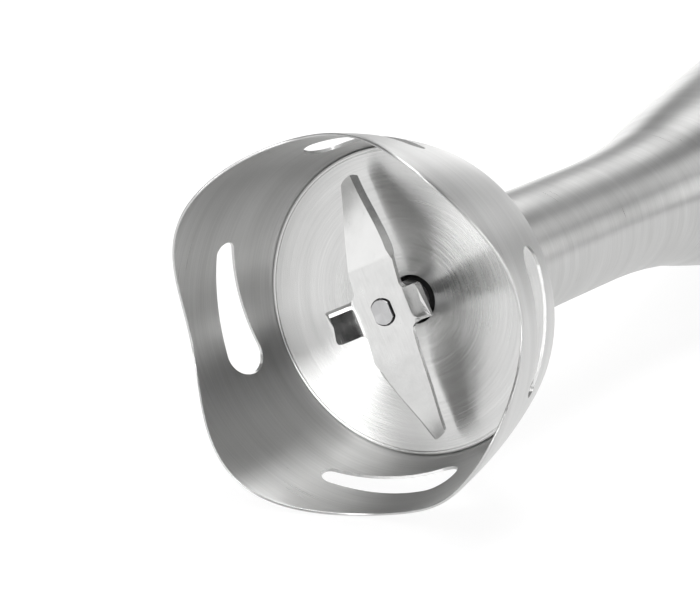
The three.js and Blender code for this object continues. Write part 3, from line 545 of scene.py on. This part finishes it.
def grid(outer, hole, borders):
    """Evenly spaced points on the blade, clear of its borders."""
    spots = []
    for i in range(-40, 41):
        for j in range(-17, 18):
            spot = Vector((i * GRID_STEP, j * GRID_STEP))
            clear = min((spot - p).length for p in borders) > GRID_MARGIN
            if clear and inside(spot, outer) and not inside(spot, hole):
                spots.append(spot)
    return spots


def blade_sheet():
    """The flat blade as triangles: (points, faces), with the bevels' inner lines among its edges."""
    outer = half_outline() + turned_half(half_outline())
    hole = oval_hole()
    stations = [BEVEL_START + 0.1 + 0.54 * i for i in range(30)]
    bevel_line = [(u, leading_edge(u) - bevel_width(u)) for u in stations]
    points = [Vector(p) for p in outer + hole]
    edges = [(i, (i + 1) % len(outer)) for i in range(len(outer))]
    edges += [(len(outer) + i, len(outer) + (i + 1) % len(hole)) for i in range(len(hole))]
    inner = grid(outer, hole, points)
    for line in (bevel_line, turned_half(bevel_line)):
        start = len(points)
        points += [Vector(p) for p in line]
        edges += [(start + i, start + i + 1) for i in range(len(line) - 1)]
    sheet, _, faces, *_ = delaunay_2d_cdt(points + inner, edges, [], 0, 1e-4)
    kept = []
    for face in faces:
        middle = sum((sheet[i] for i in face), Vector((0, 0))) / len(face)
        if inside(middle, outer) and not inside(middle, hole):
            kept.append(face)
    return sheet, kept


def build_blade(material):
    sheet, faces = blade_sheet()
    u_axis = Vector((0, math.cos(BLADE_ANGLE), math.sin(BLADE_ANGLE)))
    v_axis = Vector((0, -math.sin(BLADE_ANGLE), math.cos(BLADE_ANGLE)))

    def placed(u, v, depth):
        u, v, depth = formed(u, v, depth)
        return u_axis * u + v_axis * v + Vector((BLADE_FACE + depth, 0, 0))

    builder = bmesh.new()
    front = [builder.verts.new(placed(p.x, p.y, bevel_depth(p.x, p.y))) for p in sheet]
    back = [builder.verts.new(placed(p.x, p.y, BLADE_THICKNESS)) for p in sheet]
    for face in faces:
        builder.faces.new([front[i] for i in face])
        builder.faces.new([back[i] for i in reversed(face)])
    opposite = dict(zip(front, back))
    for edge in [e for e in builder.edges if len(e.link_faces) == 1]:
        a, b = edge.verts
        if a in opposite and b in opposite:
            builder.faces.new((a, b, opposite[b], opposite[a]))
    loose = [v for v in builder.verts if not v.link_faces]
    bmesh.ops.delete(builder, geom=loose, context="VERTS")
    blade = make_object("winged_blade", builder)
    blade.data.materials.append(material)
    sharpen(blade, 20)
    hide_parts("blade")
    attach(blade, "blade_drive")


# ---------------------------------------------------------------- CAD pieces kept as they are

# Faces that meet at less than this are one curved surface; at more, they meet in an edge.
CREASE = math.radians(32)


def smoothing_group():
    """A node group that joins a mesh's triangles and shades its curved surfaces smoothly, up to its edges."""
    group = bpy.data.node_groups.new("smooth_surfaces", "GeometryNodeTree")
    group.interface.new_socket("Geometry", in_out="INPUT", socket_type="NodeSocketGeometry")
    group.interface.new_socket("Geometry", in_out="OUTPUT", socket_type="NodeSocketGeometry")
    mesh = wire(group, "NodeGroupInput").outputs[0]
    mesh = wire(group, "GeometryNodeRemoveAttribute", {"Geometry": mesh, "Name": "custom_normal"}).outputs[0]
    mesh = wire(group, "GeometryNodeMergeByDistance", {"Geometry": mesh, "Distance": 1e-6}).outputs[0]
    inputs = {"Geometry": mesh, "Shade Smooth": True}
    mesh = wire(group, "GeometryNodeSetShadeSmooth", inputs, domain="FACE").outputs[0]
    angle = wire(group, "GeometryNodeInputMeshEdgeAngle").outputs["Unsigned Angle"]
    sharper = {"A": angle, "B": CREASE}
    creased = wire(group, "FunctionNodeCompare", sharper, operation="GREATER_THAN").outputs[0]
    inputs = {"Geometry": mesh, "Selection": creased, "Shade Smooth": False}
    mesh = wire(group, "GeometryNodeSetShadeSmooth", inputs, domain="EDGE").outputs[0]
    wire(group, "NodeGroupOutput", {0: mesh})
    return group


smooth_surfaces = smoothing_group()


def smooth(made):
    made.modifiers.new("smoothing", "NODES").node_group = smooth_surfaces


def dress(names, material, bevel):
    """Gives CAD nodes a material, smooth curved surfaces and rounded edges `bevel` millimetres wide."""
    for name in names:
        node = nodes[name]
        node.data.materials.clear()
        node.data.materials.append(material)
        smooth(node)
        if bevel:
            rounding = node.modifiers.new("rounding", "BEVEL")
            rounding.width = bevel * MM
            rounding.segments = 2
            rounding.angle_limit = CREASE
            rounding.harden_normals = True


# ---------------------------------------------------------------- springs

# Each spring, the joint of the button that presses it, and the way that button moves.
SPRINGS = [
    ("on_button_spring", "on_press", (0, 0, -1)),
    ("turbo_button_spring", "turbo_press", (0, 0, -1)),
    ("release_spring_left", "left_release_press", (0, -1, 0)),
    ("release_spring_right", "right_release_press", (0, 1, 0)),
]


def build_springs(material):
    """Coils in the places of the CAD springs."""
    for node, joint, push in SPRINGS:
        coil = bpy.data.objects.new(node + "_coil", nodes[node].data.copy())
        bpy.context.scene.collection.objects.link(coil)
        smooth(coil)
        apply_modifiers(coil)
        coil.data.materials.clear()
        coil.data.materials.append(material)
        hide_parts(node)
        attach(coil, "handle")
        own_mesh(coil)


# ---------------------------------------------------------------- studio

def build_camera():
    camera = bpy.data.objects.new("camera", bpy.data.cameras.new("camera"))
    camera.data.lens = LENS
    camera.data.sensor_width = SENSOR_WIDTH
    camera.data.clip_end = 20
    camera.location = SEAM + CAMERA_OFFSET
    camera.rotation_euler = (CAMERA_TILT, 0, CAMERA_TURN)
    bpy.context.scene.collection.objects.link(camera)
    bpy.context.scene.camera = camera


FLOOR_RADIUS = 6000
FLOOR_GLOW = 0.83


def build_floor():
    """Pale paper under the blender, lit from within so that shadows on it stay faint."""
    builder = bmesh.new()
    bmesh.ops.create_circle(builder, cap_ends=True, radius=FLOOR_RADIUS, segments=96)
    floor = make_object("floor", builder)
    floor.data.transform(Matrix.Translation((0, 0, -AXIS_HEIGHT)))
    material, tree, shader = new_material("studio_paper")
    fibre = noise(tree, object_position(tree), 900.0, 3.0)
    tree.links.new(tint(tree, (0.2, 0.2, 0.2), spread(tree, fibre, 0.98, 1.0)), shader.inputs["Base Color"])
    shader.inputs["Roughness"].default_value = 0.9
    shader.inputs["Emission Color"].default_value = (1, 1, 1, 1)
    shader.inputs["Emission Strength"].default_value = FLOOR_GLOW
    floor.data.materials.append(material)


# The studio dome: a dim room with soft lit panels. Each row is the angle round from +X and the height of a
# panel's middle, how far from there it is full and where it has faded out, all in degrees, and its
# brightness. The last two are dark gaps, which take light away.
DOME_LEVEL = 0.22
DOME_PANELS = [
    (54, 20, 10, 24, 2.6),
    (172, 10, 3, 16, 6.0),
    (166, 44, 8, 20, 2.0),
    (249, 2, 6, 16, 3.5),
    (302, 15, 6, 14, 4.4),
    (306, 37, 6, 18, 2.5),
    (357, 33, 10, 30, 0.3),
    (147, 58, 8, 22, 1.8),
    (0, 84, 8, 20, 6.5),
    (14, 3, 10, 28, 1.1),
    (137, 3, 8, 15, 1.2),
    (206, 13, 14, 32, -0.2),
    (247, 27, 8, 16, -0.2),
]


def direction_to(turn, height):
    """The unit vector at an angle round from +X and a height above the floor, in degrees."""
    turn, height = math.radians(turn), math.radians(height)
    return Vector((math.cos(turn) * math.cos(height), math.sin(turn) * math.cos(height), math.sin(height)))


def build_dome():
    """The studio's light: the panels on a dim dome, which the camera itself sees as plain white."""
    world = bpy.data.worlds.new("studio_dome")
    world.use_nodes = True
    bpy.context.scene.world = world
    tree = world.node_tree
    direction = wire(tree, "ShaderNodeTexCoord").outputs["Generated"]
    level = wire(tree, "ShaderNodeValue").outputs[0]
    level.default_value = DOME_LEVEL
    for turn, height, full, faded, brightness in DOME_PANELS:
        near = dot(tree, direction, direction_to(turn, height))
        inner, outer = math.cos(math.radians(full)), math.cos(math.radians(faded))
        inputs = {"Value": near, "From Min": outer, "From Max": inner, "To Min": 0, "To Max": brightness}
        light = wire(tree, "ShaderNodeMapRange", inputs, interpolation_type="SMOOTHSTEP").outputs[0]
        level = calc(tree, "ADD", level, light)
    seen = wire(tree, "ShaderNodeLightPath").outputs["Is Camera Ray"]
    level = wire(tree, "ShaderNodeMix", {"Factor": seen, "A": level, "B": 1.0}, data_type="FLOAT").outputs[0]
    background = tree.nodes["Background"]
    tree.links.new(level, background.inputs["Strength"])
    background.inputs["Color"].default_value = (1, 1, 1, 1)


# ---------------------------------------------------------------- assembly

build_camera()
build_floor()
build_dome()

wall_steel = turned_steel("brushed_steel_wall", (0.60, 0.60, 0.595), 0.31, 0.93, 0.000003, 0.00035)
plate_steel = turned_steel("turned_steel_plate", (0.70, 0.70, 0.695), 0.25, 1.0, 0.0000015, 0.0003,
                           along=0.0, across=1.0)
# The stem uses the wall's brushed steel with a darker base colour: painted shade on the stem.
stem_steel_with_painted_shade = turned_steel("brushed_steel_stem_painted_shade", (0.54, 0.54, 0.535), 0.31, 0.93, 0.000003, 0.00035)
blade_steel = ground_steel("ground_steel_blade", (0.68, 0.68, 0.675), 0.2, (0, 0.44, 0.9))
machined_steel = turned_steel("machined_steel", (0.5, 0.5, 0.505), 0.3, 0.5, 0.000008, 0.0003)
spring_steel = ground_steel("spring_steel", (0.45, 0.45, 0.46), 0.3, (1, 0, 0))
black_rubber = moulded("black_rubber", (0.012, 0.012, 0.012), 0.75, 0.00025, 0.00002)
soft_grip = moulded("soft_grip", (0.018, 0.019, 0.021), 0.72, 0.0004, 0.00005)
dark_plastic = moulded("dark_plastic", (0.024, 0.025, 0.027), 0.42, 0.0003, 0.00002)
grey_plastic = moulded("grey_plastic", (0.16, 0.165, 0.17), 0.4, 0.0003, 0.000015)
inner_plastic = moulded("inner_plastic", (0.45, 0.44, 0.41), 0.5, 0.0004, 0.00002)
electrical_plastic = moulded("electrical_plastic", (0.05, 0.05, 0.055), 0.45, 0.0003, 0.00002)
bronze = moulded("sintered_bronze", (0.42, 0.26, 0.12), 0.5, 0.0003, 0.00003, metallic=1.0)
cast_aluminium = moulded("cast_aluminium", (0.56, 0.57, 0.58), 0.45, 0.0005, 0.00004, metallic=1.0)
folded_brass = ground_steel("folded_brass", (0.62, 0.45, 0.17), 0.32, (1, 0, 0))
carbon = moulded("carbon", (0.02, 0.02, 0.02), 0.6, 0.0002, 0.00002)
board = moulded("board_laminate", (0.02, 0.12, 0.05), 0.35, 0.0006, 0.00001)
laminations = layered("laminations", (0.32, 0.325, 0.335), (0.1, 0.1, 0.11), 0.45, 0.0007, (1, 0, 0))
windings = layered("windings", (0.62, 0.26, 0.1), (0.25, 0.08, 0.03), 0.35, 0.0007, (0, 0, 1))
commutator_copper = layered("commutator_copper", (0.66, 0.32, 0.16), (0.45, 0.2, 0.1), 0.3, 0.003, (1, 0, 0))

build_bell(wall_steel)
build_plate(plate_steel)
build_stem(stem_steel_with_painted_shade)
build_blade(blade_steel)

dress(["drive_shaft", "blade_spacer", "shaft_clip", "motor_shaft", "front_bearing", "rear_bearing",
       "motor_screw_left", "motor_screw_right"], machined_steel, 0.15)
build_springs(spring_steel)
dress(["shaft_seal", "spigot_ring", "cord_gland"], black_rubber, 0.2)
dress(["back_grip"], soft_grip, 0.5)
dress(["motor_collar"], dark_plastic, 0)
dress(["housing_front", "housing_back", "top_cap"], dark_plastic, 0.3)
dress(["release_button_left", "release_button_right", "on_button", "turbo_button", "speed_dial"],
      grey_plastic, 0.4)
dress(["foot_collar", "stem_liner", "foot_coupling", "motor_coupling", "fan"], inner_plastic, 0.3)
dress(["on_microswitch", "turbo_microswitch", "capacitor"], electrical_plastic, 0.3)
dress(["lower_bush", "upper_bush"], bronze, 0.2)
dress(["stator", "armature"], laminations, 0)
dress(["field_coil_upper", "field_coil_lower"], windings, 0.5)
dress(["commutator"], commutator_copper, 0)
dress(["brush_holder_left", "brush_holder_right"], folded_brass, 0.1)
dress(["brush_left", "brush_right"], carbon, 0.2)
dress(["front_bracket", "rear_bracket", "potentiometer"], cast_aluminium, 0.3)
dress(["circuit_board"], board, 0.1)

bpy.context.scene.view_settings.view_transform = "Standard"
